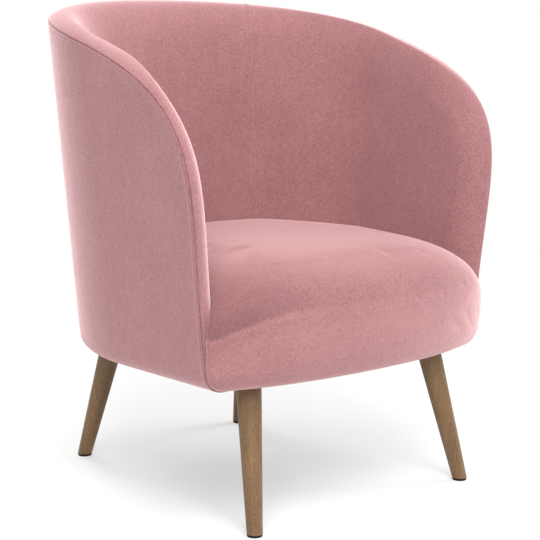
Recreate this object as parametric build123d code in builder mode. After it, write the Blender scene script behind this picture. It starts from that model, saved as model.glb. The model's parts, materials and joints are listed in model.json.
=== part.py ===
"""Velvet tub armchair on four splayed wooden legs, built as its separate upholstery and frame pieces.

Millimetres, +Z up, floor at Z = 0, the sitter faces -Y and +X is on the sitter's left hand.
"""
import os
from math import cos, radians, sin, sqrt, tan

from build123d import *

os.makedirs("parts", exist_ok=True)

# Tub, outer face
underside_z = 219.0
base_half_width = 287.0
side_lean = radians(6.2)
arm_front_y = -226.0
side_end_y = 10.0
back_y = 297.0
corner_fullness_share = 0.604
bottom_round = 28.0

# Tub, inner face
arm_wall = 45.0
inner_back_y = 164.0
inner_back_lean = radians(5.4)

# Rim, as a side profile: it leaves the arm front upright and runs back to the crest
rim_back_z = 800.0
rim_front_reach = 416.0
rim_back_reach = 630.0
rim_back_rise = radians(9.5)
rim_inner_round = 34.0

# Layers of the tub wall, from the outside in
cover_thickness = 1.5
layer_gap = 0.25
wadding_thickness = 3.0
board_thickness = 3.0
frame_thickness = 18.0
strap_thickness = 2.5
rim_foam = 21.75

# Frame pieces
post_width = 52.0
rail_depth = 52.0
rear_post_width = 45.0
back_post_x = 188.0
back_post_width = 44.0
middle_rail_z = 470.0
strap_width = 50.0
strap_first_z = 400.0
strap_pitch = 110.0
strap_count = 3

# Seat base
ring_thickness = 15.0
ring_width = 64.0
ring_front_y = -226.0
ring_bow = 30.0
ring_front_half_width = 250.0
rail_height = 64.0
rail_thickness = 16.0
front_rail_y = -232.0
front_rail_half_width = 220.0
block_length = 66.0
block_width = 62.0
block_height = 40.0
seat_strap_width = 50.0
seat_strap_pitch = 76.0
seat_strap_count = 6
seat_cross_pitch = 84.0
seat_cross_count = 5

# Seat upholstery
seat_crown_z = 420.0
seat_bulge = 71.0
seat_back_y = 240.0
seat_half_width = 303.0
fleece_thickness = 8.0

# Seams between the three inside panels and the three outside panels
inner_seam_x = 132.0
inner_seam_z = 408.0
inner_seam_lean = radians(2.2)
outer_seam_x = 196.0

# Legs, glides and leg fixings
front_foot = (224.0, -258.7)
back_foot = (177.1, 273.2)
front_top = (195.0, -209.5)
back_top = (150.0, 216.0)
foot_radius = 12.0
leg_top_radius = 20.0
glide_height = 4.0
glide_radius = 11.8
glide_edge = 0.8
glide_stem_radius = 2.5
glide_stem_length = 12.0
bolt_radius = 4.0
bolt_in_leg = 34.0
bolt_in_block = 50.0
bolt_clearance = 0.1
nut_flange_radius = 9.0
nut_flange_thickness = 1.6
nut_barrel_radius = 5.4
nut_barrel_length = 11.0

# Screws and dust cover
screw_radius = 2.25
screw_head_radius = 4.5
screw_head_height = 2.5
screw_length = 45.0
screw_clearance = 0.1
dust_cover_thickness = 1.0
dust_cover_inset = 34.0
dust_cover_setback = 8.0
flange_inset = 40.0
leg_hole_margin = 2.0

# Cutting room
overrun = 60.0
half_span = 420.0
form_top_z = 880.0

side_slope = tan(side_lean)
inner_back_slope = tan(inner_back_lean)
wadding_in = cover_thickness + layer_gap
wadding_out = wadding_in + wadding_thickness
board_in = wadding_out + layer_gap
board_out = board_in + board_thickness
frame_in = board_out + layer_gap
frame_out = frame_in + frame_thickness
strap_in = frame_out + layer_gap
strap_out = strap_in + strap_thickness
foam_in = strap_out + layer_gap
frame_depth = rim_foam + layer_gap
ring_low_z = underside_z + cover_thickness + layer_gap
ring_top_z = ring_low_z + ring_thickness
rail_low_z = ring_top_z
rail_top_z = rail_low_z + rail_height
deck_low_z = rail_top_z + layer_gap
deck_top_z = deck_low_z + 2 * strap_thickness + 2 * layer_gap
frame_low_z = ring_low_z + bottom_round / 2.5
shell_low_z = underside_z + bottom_round + wadding_thickness
rim_start_z = underside_z - layer_gap
form_front_y = arm_front_y - 2 * overrun
foam_end_y = arm_front_y + frame_depth


def side_x(z):
    """Half width of the outer face at height z."""
    return base_half_width + (z - underside_z) * side_slope


def inner_y(z):
    """Where the inner face of the back stands at height z."""
    return inner_back_y + (z - underside_z) * inner_back_slope


def d_plan(z, half_width, back):
    """Plan of the tub: straight sides and two full corners that meet in the back."""
    depth = back - side_end_y
    full = corner_fullness_share
    with BuildSketch(Plane.XY.offset(z)) as plan:
        with BuildLine():
            Line((half_width, form_front_y), (half_width, side_end_y))
            Bezier(
                (half_width, side_end_y),
                (half_width, side_end_y + full * depth),
                (full * half_width, back),
                (0, back),
            )
            mirror(about=Plane.YZ)
            Line((-half_width, form_front_y), (half_width, form_front_y))
        make_face()
    return plan.sketch


def outer_form(inset, low=underside_z, rounding=0.0):
    """Solid inside the outer face, let in by inset, from low up past the crest."""
    with BuildPart() as form:
        for z in (low, form_top_z):
            add(d_plan(z, side_x(z) - inset, back_y - inset))
        loft(ruled=True)
        if rounding > 0:
            rim = form.edges().group_by(Axis.Z)[0]
            fillet(rim.filter_by(lambda e: e.center().Y > form_front_y + layer_gap), rounding)
    return form.part


def inner_form(inset, low=underside_z - overrun):
    """Solid of the hollow inside the tub, grown outwards by inset."""
    with BuildPart() as form:
        for z in (low, form_top_z):
            add(d_plan(z, side_x(z) - arm_wall + inset, inner_y(z) + inset))
        loft(ruled=True)
    return form.part


def under_profile(depth):
    """Everything behind and under the rim's side profile, let in by depth."""
    front = arm_front_y + depth
    crest = rim_back_z - depth
    reach = rim_back_reach - depth
    rise = tan(rim_back_rise)
    low = underside_z - overrun
    with BuildPart() as block:
        with BuildSketch(Plane.YZ.offset(-half_span)):
            with BuildLine():
                rim = Bezier(
                    (front, rim_start_z),
                    (front, rim_start_z + rim_front_reach - depth),
                    (back_y - reach, crest - reach * rise),
                    (back_y, crest),
                )
                top = Line(rim @ 1, (back_y + overrun, crest + overrun * rise))
                Polyline(top @ 1, (back_y + overrun, low), (front, low), rim @ 0)
            make_face()
        extrude(amount=2 * half_span)
    return block.part


def slab(x_low, x_high, y_low, y_high, z_low, z_high):
    """Upright block between two corners, used for trimming and for plain timber."""
    with BuildPart() as block:
        with BuildSketch(Plane.XY.offset(z_low)):
            with Locations(((x_low + x_high) / 2, (y_low + y_high) / 2)):
                Rectangle(x_high - x_low, y_high - y_low)
        extrude(amount=z_high - z_low)
    return block.part


def wall(depth, low, outer_inset):
    """Solid of the whole tub wall, let in by depth at the rim and inner face, rounded over inside."""
    middle = outer_form(depth + arm_wall / 2, low - overrun)
    with BuildPart() as shell:
        add(outer_form(outer_inset, low))
        add(inner_form(depth), mode=Mode.SUBTRACT)
        add(under_profile(depth), mode=Mode.INTERSECT)
        fronts = shell.faces().filter_by(lambda f: f.center().Y < arm_front_y / 2)
        rims = fronts.filter_by(lambda f: abs(f.center().X) < layer_gap and f.normal_at().Y < -0.5)
        edges = ShapeList({e for f in rims for e in f.edges()})
        upper = edges.filter_by(lambda e: (e @ 0.5).Z > low + bottom_round)
        inner = upper.filter_by(lambda e: middle.is_inside(e @ 0.1) and middle.is_inside(e @ 0.9))
        fillet(inner, rim_inner_round - depth)
    return shell.part


def seam_wedge(x_at_seam, grow):
    """Block between two leaning seam planes, one each side of the back."""
    low_x = x_at_seam - (inner_seam_z - underside_z + overrun) * tan(inner_seam_lean) + grow
    high_x = x_at_seam + (form_top_z - inner_seam_z) * tan(inner_seam_lean) + grow
    low = underside_z - overrun
    with BuildPart() as wedge:
        with BuildSketch(Plane.XZ.offset(-side_end_y)):
            with BuildLine():
                Polyline(
                    (-low_x, low), (low_x, low), (high_x, form_top_z), (-high_x, form_top_z), (-low_x, low)
                )
            make_face()
        extrude(amount=-(back_y + overrun - side_end_y))
    return wedge.part


def cut(whole, *away, keep=None):
    """Whole less each of away, and within keep if it is given."""
    with BuildPart() as piece:
        add(whole)
        if keep is not None:
            add(keep, mode=Mode.INTERSECT)
        for other in away:
            add(other, mode=Mode.SUBTRACT)
    return piece.part


def save(solid, name):
    """Write one named piece."""
    solid.label = name
    export_step(solid, f"parts/{name}.step")


def three_panels(whole, stem, x_at_seam):
    """Split a tub layer at its two seams and write its left, right and back panels."""
    save(cut(whole, keep=seam_wedge(x_at_seam, -layer_gap / 2)), f"{stem}_back")
    near = x_at_seam / 2
    for name, x_low, x_high in (("left", near, half_span), ("right", -half_span, -near)):
        side = slab(x_low, x_high, form_front_y, back_y + overrun, underside_z - overrun, form_top_z)
        save(cut(whole, seam_wedge(x_at_seam, layer_gap / 2), keep=side), f"{stem}_{name}")


# Legs stand on leaning axes, so every leg fixing is built on its leg's own plane
def leg_axis(foot, top, side):
    """Plane at the foot whose Z axis runs up the middle of the leg."""
    rise = underside_z - glide_height
    lean_x = side * (top[0] - foot[0])
    lean_y = top[1] - foot[1]
    return Plane(
        origin=(side * foot[0], foot[1], glide_height),
        x_dir=(0, -rise, lean_y),
        z_dir=(lean_x, lean_y, rise),
    )


legs = {
    "front_left": leg_axis(front_foot, front_top, 1),
    "front_right": leg_axis(front_foot, front_top, -1),
    "back_left": leg_axis(back_foot, back_top, 1),
    "back_right": leg_axis(back_foot, back_top, -1),
}


def top_distance(plane, z):
    """Distance up the leg's axis at which it reaches height z."""
    return (z - plane.origin.Z) / plane.z_dir.Z


def leg_rod(plane, radius, start, length):
    """Round bar along a leg's axis."""
    with BuildPart() as rod:
        with BuildSketch(plane.offset(start)):
            Circle(radius)
        extrude(amount=length)
    return rod.part


def bolt_hole(plane):
    """Hole for the leg bolt, from inside the leg up through ring and block."""
    start = top_distance(plane, underside_z) - bolt_in_leg
    return leg_rod(plane, bolt_radius + bolt_clearance, start, bolt_in_leg + bolt_in_block + overrun)


bolt_holes = [bolt_hole(plane) for plane in legs.values()]

# Covers of the tub: the outside panels stop at the seam, the inside panels roll over the rim to it
outside_skin = cut(
    outer_form(0, underside_z, bottom_round),
    outer_form(cover_thickness, underside_z + cover_thickness, bottom_round - cover_thickness),
    outer_form(flange_inset, underside_z - overrun),
    *bolt_holes,
    keep=under_profile(wadding_in),
)
three_panels(outside_skin, "outside_cover", outer_seam_x)

band_low_z = underside_z + bottom_round + layer_gap
below_deck = slab(
    -half_span, half_span, foam_end_y, back_y + overrun, underside_z - overrun, deck_top_z
)
tub_wall = wall(0, band_low_z, 0)
under_skin = wall(cover_thickness, band_low_z - ring_thickness, -wadding_out)
three_panels(cut(tub_wall, under_skin, below_deck), "inside_cover", inner_seam_x)

# Foam of the tub, over the rim and down its inner face
core = cut(under_profile(rim_foam), outer_form(foam_in, underside_z - 2 * overrun))
three_panels(cut(wall(wadding_in, band_low_z, wadding_in), core, below_deck), "foam", inner_seam_x)

# Wadding and fibreboard behind the outside cover
for name, near, far in (("outer_wadding", wadding_in, wadding_out), ("outer_board", board_in, board_out)):
    save(
        cut(
            outer_form(near, shell_low_z),
            outer_form(far, shell_low_z - overrun),
            keep=under_profile(frame_depth),
        ),
        name,
    )

# Plywood side frames, each one open panel, and the bent back frame between them
frame_zone = cut(
    outer_form(frame_in, frame_low_z),
    outer_form(frame_out, frame_low_z - overrun),
    keep=under_profile(frame_depth),
)
under_rail = under_profile(frame_depth + rail_depth)
window = cut(
    under_rail,
    keep=slab(-half_span, half_span, arm_front_y, side_end_y - rear_post_width, rail_top_z, form_top_z),
)
screw_places_y = [front_rail_y + rail_thickness + block_length / 2, side_end_y - rear_post_width]
screw_z = (rail_low_z + rail_top_z) / 2


def side_screw_holes(radius):
    """Level holes through both side frames into the side rails."""
    with BuildPart() as holes:
        for y in screw_places_y:
            with BuildSketch(Plane.YZ.offset(-half_span)):
                with Locations((y, screw_z)):
                    Circle(radius)
        extrude(amount=2 * half_span)
    return holes.part


side_holes = side_screw_holes(screw_radius + screw_clearance)
for name, x_low, x_high in (("left", 0, half_span), ("right", -half_span, 0)):
    side = slab(x_low, x_high, form_front_y, side_end_y, underside_z - overrun, form_top_z)
    save(cut(frame_zone, window, side_holes, keep=side), f"side_frame_{name}")

back_zone = cut(
    frame_zone,
    keep=slab(-half_span, half_span, side_end_y + layer_gap, back_y, underside_z - overrun, form_top_z),
)
save(cut(back_zone, under_rail), "back_top_rail")
under_top_rail = under_profile(frame_depth + rail_depth + layer_gap)
post_blocks = {}
for name, x in (("left", back_post_x), ("centre", 0), ("right", -back_post_x)):
    half = back_post_width / 2
    post_blocks[name] = (x - half, x + half)
    post = slab(x - half, x + half, side_end_y, back_y, frame_low_z, form_top_z)
    save(cut(cut(back_zone, keep=post), keep=under_top_rail), f"back_post_{name}")
gaps_between = [
    slab(low - layer_gap, high + layer_gap, side_end_y, back_y, frame_low_z, form_top_z)
    for low, high in post_blocks.values()
]
middle_band = slab(-half_span, half_span, side_end_y, back_y, middle_rail_z, middle_rail_z + rail_depth)
save(cut(back_zone, *gaps_between, keep=middle_band), "back_middle_rails")

# Elastic straps round the inside of the frame
strap_zone = cut(
    outer_form(strap_in, frame_low_z),
    outer_form(strap_out, frame_low_z - overrun),
    keep=slab(
        -half_span, half_span, arm_front_y + frame_depth + post_width / 2, back_y, underside_z, form_top_z
    ),
)
strap_zone = cut(strap_zone, keep=under_profile(frame_depth + layer_gap))
with BuildPart() as tub_straps:
    for row in range(strap_count):
        low = strap_first_z + row * strap_pitch
        add(cut(strap_zone, keep=slab(-half_span, half_span, arm_front_y, back_y, low, low + strap_width)))
save(tub_straps.part, "tub_straps")


# Legs and glides
for name, plane in legs.items():
    length = top_distance(plane, underside_z)
    foot_place = (plane.origin.X, plane.origin.Y)
    with BuildPart() as leg:
        with BuildSketch(plane.offset(-glide_height)):
            Circle(foot_radius)
        with BuildSketch(plane.offset(length + glide_height)):
            Circle(leg_top_radius)
        loft()
        add(
            slab(-half_span, half_span, -half_span, half_span, glide_height, underside_z - layer_gap),
            mode=Mode.INTERSECT,
        )
        add(bolt_hole(plane), mode=Mode.SUBTRACT)
        with BuildSketch(Plane.XY.offset(glide_height)):
            with Locations(foot_place):
                Circle(glide_stem_radius + bolt_clearance)
        extrude(amount=glide_stem_length + bolt_clearance, mode=Mode.SUBTRACT)
    save(leg.part, f"leg_{name}")

    with BuildPart() as glide:
        with BuildSketch(Plane.XY):
            with Locations(foot_place):
                Circle(glide_radius)
        extrude(amount=glide_height)
        fillet(glide.edges().group_by(Axis.Z)[0], glide_edge)
        with BuildSketch(Plane.XY.offset(glide_height)):
            with Locations(foot_place):
                Circle(glide_stem_radius)
        extrude(amount=glide_stem_length)
    save(glide.part, f"glide_{name}")

# Seat base: a plywood ring, four rails standing on it and a block in each corner
front_screws = [
    (x, front_rail_y + rail_thickness / 2)
    for x in (-front_rail_half_width / 2, 0, front_rail_half_width / 2)
]
side_rail_x = side_x(rail_low_z) - bottom_round - layer_gap - rail_thickness / 2
side_screws = [
    (side * side_rail_x, y) for side in (-1, 1) for y in (side_end_y - rail_thickness, -block_length)
]


def upright_screws(places, shank, head, length):
    """Countersunk screws, or the holes for them, driven up through the ring."""
    with BuildPart() as screws:
        for x, y in places:
            for radius, height in ((shank, length), (head, screw_head_height)):
                with BuildSketch(Plane.XY.offset(ring_low_z)):
                    with Locations((x, y)):
                        Circle(radius)
                extrude(amount=height)
    return screws.part


ring_screws = front_screws + side_screws
ring_screw_holes = upright_screws(
    ring_screws,
    screw_radius + screw_clearance,
    screw_head_radius + screw_clearance,
    screw_length + screw_clearance,
)
save(upright_screws(ring_screws, screw_radius, screw_head_radius, screw_length), "ring_screws")

def bowed_sheet(front_y, low_z, thickness):
    """Sheet whose front edge bows out towards the sitter's legs."""
    with BuildPart() as sheet:
        with BuildSketch(Plane.XY.offset(low_z)):
            with BuildLine():
                bow = ThreePointArc(
                    (-ring_front_half_width, front_y),
                    (0, front_y - ring_bow),
                    (ring_front_half_width, front_y),
                )
                Polyline(
                    bow @ 1, (half_span, front_y), (half_span, half_span),
                    (-half_span, half_span), (-half_span, front_y), bow @ 0,
                )
            make_face()
        extrude(amount=thickness)
    return sheet.part


opening_x = base_half_width - bottom_round - ring_width
ring_opening = slab(
    -opening_x, opening_x, ring_front_y + ring_width, side_end_y + 2 * ring_width,
    underside_z - overrun, rail_low_z + overrun,
)
base_ring = cut(
    outer_form(bottom_round + layer_gap, ring_low_z - overrun),
    ring_opening, ring_screw_holes, *bolt_holes,
    keep=bowed_sheet(ring_front_y, ring_low_z, ring_thickness),
)
save(base_ring, "base_ring")


def block_slab(plane, grow):
    """Square timber over a leg, standing on the ring, with its upright sides and top grown by grow."""
    middle = plane.origin + plane.z_dir * top_distance(plane, rail_low_z)
    half_x = block_length / 2 + grow
    half_y = block_width / 2 + grow
    return slab(
        middle.X - half_x, middle.X + half_x, middle.Y - half_y, middle.Y + half_y,
        rail_low_z, rail_low_z + block_height + grow,
    )


rail_zone = cut(
    outer_form(bottom_round + layer_gap, rail_low_z),
    outer_form(bottom_round + layer_gap + rail_thickness, rail_low_z - overrun),
)
block_front_y = front_rail_y + rail_thickness + layer_gap
for name, x_low, x_high in (("left", 0, half_span), ("right", -half_span, 0)):
    side = slab(x_low, x_high, foam_end_y + layer_gap, side_end_y, rail_low_z, rail_top_z)
    save(cut(rail_zone, side_holes, ring_screw_holes, keep=side), f"side_rail_{name}")
back_half = slab(-half_span, half_span, side_end_y + layer_gap, back_y, rail_low_z, rail_top_z)
notches = [block_slab(legs[name], layer_gap) for name in ("back_left", "back_right")]
save(cut(rail_zone, *notches, keep=back_half), "back_rail")
front_rail = slab(
    -front_rail_half_width, front_rail_half_width, front_rail_y, front_rail_y + rail_thickness,
    rail_low_z, rail_top_z,
)
save(cut(front_rail, ring_screw_holes), "front_rail")

with BuildPart() as frame_screws:
    for side in (-1, 1):
        start = side_x(screw_z) - frame_in - screw_head_height
        for y in screw_places_y:
            with BuildSketch(Plane.YZ.offset(side * start)):
                with Locations((y, screw_z)):
                    Circle(screw_radius)
            extrude(amount=-side * screw_length)
save(frame_screws.part, "frame_screws")

# Corner blocks stand on the ring over the legs, and hold the leg nuts and bolts
block_limits = {
    "front": outer_form(bottom_round + 2 * layer_gap + rail_thickness, rail_low_z - overrun),
    "back": outer_form(bottom_round + layer_gap, rail_low_z - overrun),
}
behind_front_rail = slab(
    -half_span, half_span, block_front_y, back_y, rail_low_z, rail_low_z + block_height
)
for name, plane in legs.items():
    with BuildPart() as block:
        add(block_slab(plane, 0))
        add(block_limits[name.split("_")[0]], mode=Mode.INTERSECT)
        add(behind_front_rail, mode=Mode.INTERSECT)
        add(bolt_hole(plane), mode=Mode.SUBTRACT)
        nut_seat = top_distance(plane, rail_low_z) + nut_barrel_length + nut_flange_thickness
        add(leg_rod(plane, nut_barrel_radius + bolt_clearance, nut_seat - nut_barrel_length, half_span),
            mode=Mode.SUBTRACT)
        add(leg_rod(plane, nut_flange_radius + bolt_clearance, nut_seat, half_span), mode=Mode.SUBTRACT)
    save(block.part, f"corner_block_{name}")

with BuildPart() as leg_nuts:
    for plane in legs.values():
        nut_seat = top_distance(plane, rail_low_z) + nut_barrel_length + nut_flange_thickness
        add(leg_rod(plane, nut_barrel_radius, nut_seat - nut_barrel_length + layer_gap, nut_barrel_length))
        add(leg_rod(plane, nut_flange_radius, nut_seat + layer_gap, nut_flange_thickness))
        add(leg_rod(plane, bolt_radius + bolt_clearance, 0, half_span), mode=Mode.SUBTRACT)
save(leg_nuts.part, "leg_nuts")

with BuildPart() as leg_bolts:
    for plane in legs.values():
        start = top_distance(plane, underside_z) - bolt_in_leg + bolt_clearance
        add(leg_rod(plane, bolt_radius, start, bolt_in_leg + bolt_in_block))
save(leg_bolts.part, "leg_bolts")

# Elastic webbing over the rails, and the cloth that closes the underside
web_front_y = front_rail_y
web_back_y = back_y - bottom_round - rail_thickness / 2
web_half_width = side_x(rail_top_z) - bottom_round - rail_thickness / 4
deck_plan = outer_form(bottom_round + layer_gap, rail_low_z)
with BuildPart() as webbing_lengthwise:
    for n in range(seat_strap_count):
        x = (n - (seat_strap_count - 1) / 2) * seat_strap_pitch
        half = seat_strap_width / 2
        add(cut(deck_plan, keep=slab(
            x - half, x + half, web_front_y, web_back_y, deck_low_z, deck_low_z + strap_thickness
        )))
save(webbing_lengthwise.part, "seat_webbing_lengthwise")
with BuildPart() as webbing_crosswise:
    for n in range(seat_cross_count):
        half = seat_strap_width / 2
        y = foam_end_y + layer_gap + half + n * seat_cross_pitch
        low = deck_low_z + strap_thickness + layer_gap
        add(cut(deck_plan, keep=slab(
            -web_half_width, web_half_width, y - half, y + half, low, low + strap_thickness
        )))
save(webbing_crosswise.part, "seat_webbing_crosswise")

dust_low_z = underside_z - layer_gap - dust_cover_thickness
dust_plan = cut(
    outer_form(dust_cover_inset, dust_low_z - overrun),
    *[leg_rod(plane, leg_top_radius + leg_hole_margin, 0, half_span) for plane in legs.values()],
    keep=bowed_sheet(ring_front_y + dust_cover_setback, dust_low_z, dust_cover_thickness),
)
save(dust_plan, "dust_cover")


# Seat: one plump form between the arms that swells out in front of them. Its plan is half an ellipse, so
# each section is placed by an angle, and its shape eases from the middle section to the end one
seat_step = radians(17.0)
seat_steps_each_side = 5
seat_ease_power = 1.8
waist_setback = 40.8
waist_fullness_share = 0.76
front_z_middle_share = 0.514
front_z_end_share = 0.394
roll_z_middle_share = 0.953
roll_z_end_share = 0.452
brow_z_middle_share = 1.104
brow_z_end_share = 0.33
middle_z_middle_share = 0.96
middle_z_end_share = 0.37
back_z_middle_share = 0.96
back_z_end_share = 0.425
brow_setback = 4.0
seat_middle_y = 30.0


def seat_section(angle, inset):
    """Side profile of the seat at one angle round its plan, let in by inset."""
    plan = cos(angle)
    crown = 1 - (1 - plan) ** seat_ease_power
    height = seat_crown_z - underside_z

    def rise(middle_share, end_share):
        return underside_z + height * (end_share + (middle_share - end_share) * crown) - inset

    front_y = arm_front_y - plan * seat_bulge + inset
    front_z = rise(front_z_middle_share, front_z_end_share) + inset
    front = (front_y, front_z)
    waist_y = front_y + sqrt(plan) * waist_setback
    low_z = underside_z + inset
    full = waist_fullness_share
    back = (seat_back_y, rise(back_z_middle_share, back_z_end_share))
    with BuildLine() as outline:
        Bezier(
            front,
            (front_y, rise(roll_z_middle_share, roll_z_end_share)),
            (arm_front_y - brow_setback + inset, rise(brow_z_middle_share, brow_z_end_share)),
            (seat_middle_y, rise(middle_z_middle_share, middle_z_end_share)),
            back,
        )
        Polyline(back, (seat_back_y, low_z), (waist_y, low_z))
        Bezier(
            (waist_y, low_z),
            (waist_y + (front_y - waist_y) * full, low_z),
            (front_y, front_z + (low_z - front_z) * full),
            front,
        )
    return outline.line


def seat_form(inset):
    """Solid of the whole seat, let in by inset."""
    with BuildPart() as form:
        for step in range(-seat_steps_each_side, seat_steps_each_side + 1):
            angle = step * seat_step
            with BuildSketch(Plane.YZ.offset(sin(angle) * (seat_half_width - inset))):
                add(make_face(seat_section(angle, inset), mode=Mode.PRIVATE))
        loft()
    return form.part


wall_room = wall(-layer_gap, underside_z - overrun, -overrun)
seat_limits = outer_form(0, underside_z, bottom_round)
under_flange = slab(
    bottom_round - base_half_width, base_half_width - bottom_round,
    ring_front_y - ring_bow / 3, half_span, underside_z - overrun, deck_top_z + layer_gap,
)
behind_arm_fronts = slab(
    -half_span, half_span, arm_front_y - layer_gap, half_span, underside_z - overrun, deck_top_z + layer_gap
)
seat_hollow = cut(
    seat_form(cover_thickness),
    keep=outer_form(cover_thickness, underside_z + cover_thickness, bottom_round - cover_thickness),
)
seat_cover = cut(
    seat_form(0), seat_hollow, wall_room, under_flange, behind_arm_fronts, keep=seat_limits
)
save(seat_cover, "seat_cover")
seat_inner_limits = outer_form(wadding_in, underside_z - overrun)
above_ring = slab(-half_span, half_span, form_front_y, half_span, band_low_z, form_top_z)
behind_rail_front = slab(
    -half_span, half_span, front_rail_y - layer_gap, half_span, underside_z - overrun, deck_top_z + layer_gap
)
fleece_inset = wadding_in + fleece_thickness
for name, near, far in (
    ("seat_fleece", wadding_in, fleece_inset),
    ("seat_foam", fleece_inset + layer_gap, None),
):
    layer = cut(seat_form(near), keep=seat_inner_limits)
    layer = cut(layer, behind_rail_front, keep=above_ring)
    if far is not None:
        layer = cut(layer, seat_form(far))
    save(cut(layer, wall_room), name)
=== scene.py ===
"""Velvet tub armchair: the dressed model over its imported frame.

The chair's sizes are in millimetres up to the point where a vertex is placed. The vertices, the camera, the
lamps and the floor are in metres. The floor is Z = 0, the sitter faces -Y and +X is on the sitter's left hand.
"""
import json
import math

import bmesh
import bpy
import numpy as np
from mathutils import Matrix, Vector


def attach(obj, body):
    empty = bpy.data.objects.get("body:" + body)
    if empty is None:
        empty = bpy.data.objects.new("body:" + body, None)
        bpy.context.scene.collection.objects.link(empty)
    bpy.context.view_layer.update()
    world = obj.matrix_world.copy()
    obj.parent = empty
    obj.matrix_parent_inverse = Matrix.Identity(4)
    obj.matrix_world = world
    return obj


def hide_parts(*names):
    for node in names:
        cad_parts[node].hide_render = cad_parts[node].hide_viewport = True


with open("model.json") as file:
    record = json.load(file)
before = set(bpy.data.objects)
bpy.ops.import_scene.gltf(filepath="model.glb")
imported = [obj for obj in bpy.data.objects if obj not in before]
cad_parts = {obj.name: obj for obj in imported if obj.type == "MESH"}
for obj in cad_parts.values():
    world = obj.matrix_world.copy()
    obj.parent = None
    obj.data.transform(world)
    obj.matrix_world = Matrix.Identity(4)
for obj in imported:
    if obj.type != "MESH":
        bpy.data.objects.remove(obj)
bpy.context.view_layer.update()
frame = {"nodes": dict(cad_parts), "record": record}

MM = 0.001

# Tub, as in the solids
UNDERSIDE_Z = 219.0
BASE_HALF_WIDTH = 287.0
SIDE_SLOPE = math.tan(math.radians(6.2))
ARM_FRONT_Y = -226.0
SIDE_END_Y = 10.0
BACK_Y = 297.0
FULLNESS = 0.604
BOTTOM_ROUND = 30.0
ARM_WALL = 45.0
INNER_BACK_Y = 164.0
INNER_BACK_SLOPE = math.tan(math.radians(5.4))
CORNER_LENGTH = 470.0
CORNER_STEPS = 801
MIDDLE = SIDE_END_Y + CORNER_LENGTH

# Seam between the inside and outside covers, in side view
SEAM_CURVE = ((-226.0, 302.0), (-226.0, 597.0), (-333.0, 685.0), (297.0, 790.6))
LOW_Z = UNDERSIDE_Z + BOTTOM_ROUND
SEAM_STEPS = (1200, 2200)
STATION_GAP = 5.5
PATCH_CORNER_Z = 640.0
HIDDEN_Z = 330.0

# Rim over the wall, at the arm fronts, halfway up the wings and at the back
RIM_DROP = 54.0
RIM_STATIONS = (-226.0, -60.0, 330.0)
RIM_CREST_SHARES = (0.10, 0.70, 0.50)
RIM_RISES = (1.0, 8.0, 10.0)

# Rolled edges along the seams, and the turned-in cloth that shows as a ridge beside the rim seam
EDGE_ROLL = 1.7
EDGE_STEPS = np.array((0.0, 0.15, 0.45, 0.95, EDGE_ROLL))
BESIDE_STEPS = np.array((0.0, 0.15, 0.45, 0.95, 1.7, 3.0, 4.6))
RIDGE = 0.45
RIDGE_ENDS = (6.0, 8.4)
RIDGE_STEPS = np.array((0.0, 0.15, 0.45, 0.95, 1.7, 3.4, 5.0, 6.0, 6.8, 7.6, 8.4, 10.0))

# Upright seams of the tub panels
INNER_SEAM_X = 132.0
OUTER_SEAM_X = 196.0
SEAM_REF_Z = 408.0
SEAM_LEAN = math.tan(math.radians(2.2))
INNER_RIDGE = 1.2
INNER_RIDGE_ENDS = (2.0, 4.4)

# Camera found from the photograph
CAMERA_PLACE = (-1.5969, -1.9202, 0.7446)
CAMERA_TARGET = (-0.0829, -0.1270, 0.3727)
CAMERA_LENS = 100.0
CAMERA_SENSOR = 36.0


def ease(low, high, value):
    """Smooth step from 0 at low to 1 at high."""
    t = np.clip((value - low) / (high - low), 0, 1)
    return t * t * (3 - 2 * t)


def side_x(z):
    """Half width of the tub's outer face at height z."""
    return BASE_HALF_WIDTH + (z - UNDERSIDE_Z) * SIDE_SLOPE


def plan_point(p, half_width, back):
    """Point at distance p round the plan: up the left side, round the back, down the right side."""
    mirrored = p > MIDDLE
    q = np.where(mirrored, 2 * MIDDLE - p, p)
    t = np.clip((q - SIDE_END_Y) / CORNER_LENGTH, 0, 1)
    x = half_width * corner_x(t)
    y = SIDE_END_Y + (back - SIDE_END_Y) * corner_y(t)
    return np.where(mirrored, -x, x), np.where(q < SIDE_END_Y, q, y)


def corner_x(t):
    """Share of the half width at share t of the corner."""
    s = 1 - t
    return s ** 3 + 3 * t * s ** 2 + 3 * t ** 2 * s * FULLNESS


def corner_y(t):
    """Share of the corner's depth at share t of it."""
    s = 1 - t
    return 3 * t * s ** 2 * FULLNESS + 3 * t ** 2 * s + t ** 3


def corner_share(values, wanted, rising):
    """Share of the corner at which a plan coordinate takes the wanted value."""
    order = np.linspace(0, 1, CORNER_STEPS) if rising else np.linspace(1, 0, CORNER_STEPS)
    return np.interp(wanted, values(order), order)


def outer_point(p, z, inset=0.0):
    """Point of the outer face, let in by inset."""
    x, y = plan_point(p, side_x(z) - inset, BACK_Y - inset)
    return np.stack([x, y, z + 0 * x], -1)


def inner_point(p, z, inset=0.0):
    """Point of the inner face, let in by inset."""
    back = INNER_BACK_Y + (z - UNDERSIDE_Z) * INNER_BACK_SLOPE
    x, y = plan_point(p, side_x(z) - ARM_WALL + inset, back + inset)
    return np.stack([x, y, z + 0 * x], -1)


def runs_of(points):
    """Distance along a line of points to each of them."""
    return np.concatenate([[0], np.cumsum(np.linalg.norm(np.diff(points, axis=0), axis=1))])


def at_runs(points, runs, wanted):
    """Places on a line at the wanted distances along it."""
    return np.stack([np.interp(wanted, runs, points[:, k]) for k in range(points.shape[1])], -1)


def steps(length, gap, start=(0.0,), end=(0.0,)):
    """Distances from 0 to length about gap apart, with the fine steps given at its start and end."""
    low, high = start[-1], length - end[-1]
    middle = np.linspace(low, high, max(2, round((high - low) / gap) + 1))
    return np.concatenate([start[:-1], middle, [length - step for step in end[-2::-1]]])


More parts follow.
